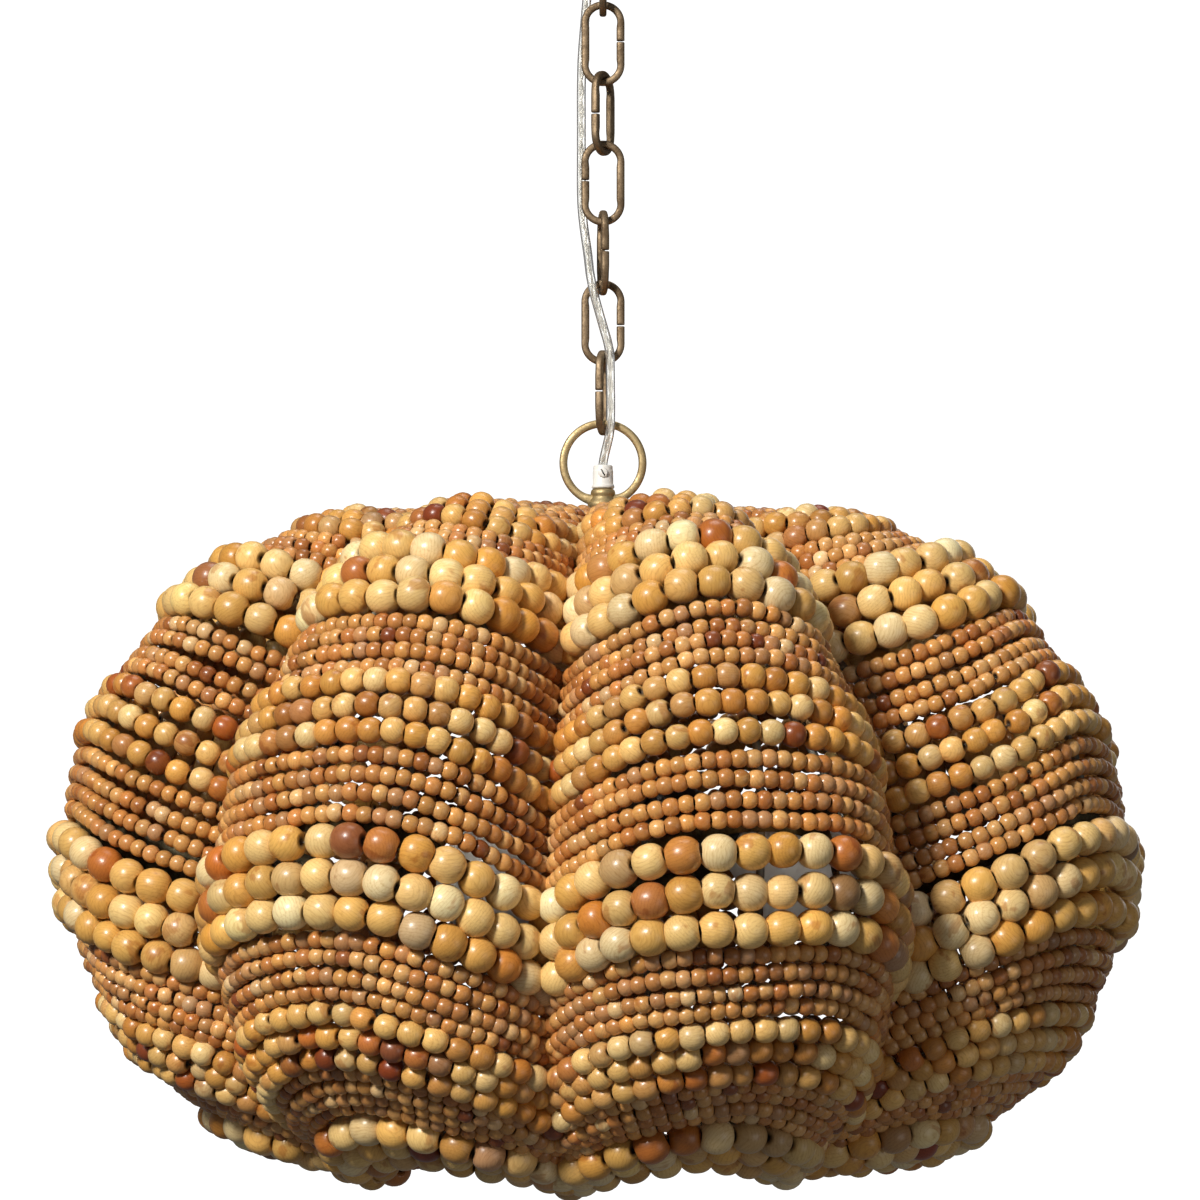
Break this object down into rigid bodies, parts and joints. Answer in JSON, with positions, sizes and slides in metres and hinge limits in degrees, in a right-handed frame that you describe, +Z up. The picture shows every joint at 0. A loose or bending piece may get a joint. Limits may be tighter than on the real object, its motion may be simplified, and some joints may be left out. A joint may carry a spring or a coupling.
{
  "type": "beaded chandelier",
  "caption": "Lobed shade of strung wooden beads on a wire cage, hung by a ring from a chain with a lamp cord, under a ceiling canopy.",
  "frame": {"origin": "centre of the canopy's rim, in the ceiling plane", "axes": "+Z up along the hanging chain, -Y towards the shade's front"},
  "size_m": [0.5628, 0.5628, 0.7146],
  "materials": {
    "brass": "antique, satin",
    "green_brass": "antique, satin",
    "steel": "zinc plated",
    "cage_wire": "dull",
    "white_plastic": "satin",
    "clear_cord": "clear, gloss",
    "small_beads": "varnished",
    "medium_beads": "varnished",
    "large_beads": "varnished",
    "dark_plastic": "satin",
    "lamp_glass": "frosted"
  },
  "bodies": {
    "ceiling": {"crossbar": "steel", "box_screw_left": "steel", "box_screw_right": "steel", "nipple": "steel", "nipple_nut": "steel", "canopy": "brass", "canopy_loop": "brass", "lamp_cord": "clear_cord"},
    "link_1": {"chain_link_1": "brass"},
    "link_2": {"chain_link_2": "brass"},
    "link_3": {"chain_link_3": "brass"},
    "link_4": {"chain_link_4": "brass"},
    "link_5": {"chain_link_5": "brass"},
    "link_6": {"chain_link_6": "brass"},
    "link_7": {"chain_link_7": "brass"},
    "shade": {"ring_loop": "green_brass", "cord_grip": "white_plastic", "stem": "steel", "top_hub": "steel", "lock_nut": "steel", "equator_hoop": "cage_wire", "bottom_hoop": "cage_wire", "crest_rib_1": "cage_wire", "crest_rib_2": "cage_wire", "crest_rib_3": "cage_wire", "crest_rib_4": "cage_wire", "crest_rib_5": "cage_wire", "crest_rib_6": "cage_wire", "crest_rib_7": "cage_wire", "crest_rib_8": "cage_wire", "valley_rib_1": "cage_wire", "valley_rib_2": "cage_wire", "valley_rib_3": "cage_wire", "valley_rib_4": "cage_wire", "valley_rib_5": "cage_wire", "valley_rib_6": "cage_wire", "valley_rib_7": "cage_wire", "valley_rib_8": "cage_wire", "band_01_small": "small_beads", "band_02_medium": "medium_beads", "band_03_small": "small_beads", "band_04_large": "large_beads", "band_05_small": "small_beads", "band_06_medium": "medium_beads", "band_07_small": "small_beads", "band_08_large": "large_beads", "band_09_small": "small_beads", "band_10_medium": "medium_beads", "band_11_small": "small_beads", "band_12_large": "large_beads", "band_13_small": "small_beads", "cluster_body": "brass", "socket_1": "dark_plastic", "socket_2": "dark_plastic", "socket_3": "dark_plastic", "bulb_1": "lamp_glass", "bulb_2": "lamp_glass", "bulb_3": "lamp_glass"}
  },
  "joints": [
    {"name": "swing_1", "type": "hinge", "parent": "ceiling", "child": "link_1", "pos_m": [0, 0, -0.0654], "axis": [1, 0, 0], "range_deg": [-12, 12], "deforming": ["lamp_cord"]},
    {"name": "swing_2", "type": "hinge", "parent": "link_1", "child": "link_2", "pos_m": [0, 0, -0.1016], "axis": [0, 1, 0], "range_deg": [-12, 12], "deforming": ["lamp_cord"]},
    {"name": "swing_3", "type": "hinge", "parent": "link_2", "child": "link_3", "pos_m": [0, 0, -0.1379], "axis": [1, 0, 0], "range_deg": [-12, 12], "deforming": ["lamp_cord"]},
    {"name": "swing_4", "type": "hinge", "parent": "link_3", "child": "link_4", "pos_m": [0, 0, -0.1742], "axis": [0.4226, 0.9063, 0], "range_deg": [-12, 12], "deforming": ["lamp_cord"]},
    {"name": "swing_5", "type": "hinge", "parent": "link_4", "child": "link_5", "pos_m": [0, 0, -0.2105], "axis": [1, 0, 0], "range_deg": [-12, 12], "deforming": ["lamp_cord"]},
    {"name": "swing_6", "type": "hinge", "parent": "link_5", "child": "link_6", "pos_m": [0, 0, -0.2468], "axis": [-0.1219, 0.9925, 0], "range_deg": [-12, 12], "deforming": ["lamp_cord"]},
    {"name": "swing_7", "type": "hinge", "parent": "link_6", "child": "link_7", "pos_m": [0, 0, -0.2831], "axis": [1, 0, 0], "range_deg": [-12, 12], "deforming": ["lamp_cord"]},
    {"name": "swing_8", "type": "hinge", "parent": "link_7", "child": "shade", "pos_m": [0, 0, -0.3194], "axis": [0.2079, 0.9781, 0], "range_deg": [-12, 12], "deforming": ["lamp_cord"]}
  ]
}
